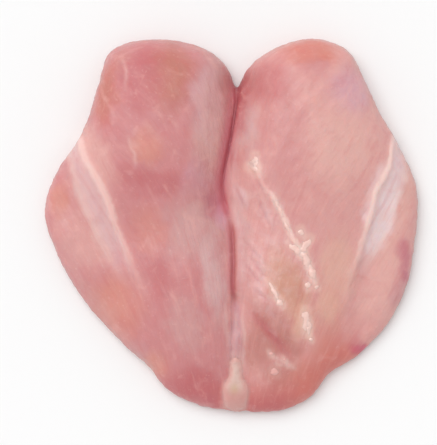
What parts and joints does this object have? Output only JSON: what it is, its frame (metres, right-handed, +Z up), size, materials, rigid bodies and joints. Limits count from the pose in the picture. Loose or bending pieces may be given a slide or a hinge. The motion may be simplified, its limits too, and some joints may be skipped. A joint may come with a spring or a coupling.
{
  "type": "double chicken breast",
  "caption": "Raw, skinless and boneless double chicken breast, lying with its smooth outer side up, with a tab of keel cartilage at its thin end.",
  "frame": {"origin": "middle of the outline seen from above, on the flat face that the meat rests on", "axes": "+Z up, out of the smooth outer side of the breast; +Y along the line of the breastbone, towards the thick cranial end with the notch; +X to the right, seen from above with the notch away from the viewer"},
  "size_m": [0.1797, 0.1805, 0.031],
  "materials": {
    "raw_meat": "moist raw poultry muscle, pink with paler silver skin, fascia and threads of fat",
    "cartilage": "moist cream cartilage, satin"
  },
  "bodies": {
    "root": {"double_breast": "raw_meat", "keel_cartilage": "cartilage"}
  },
  "joints": []
}
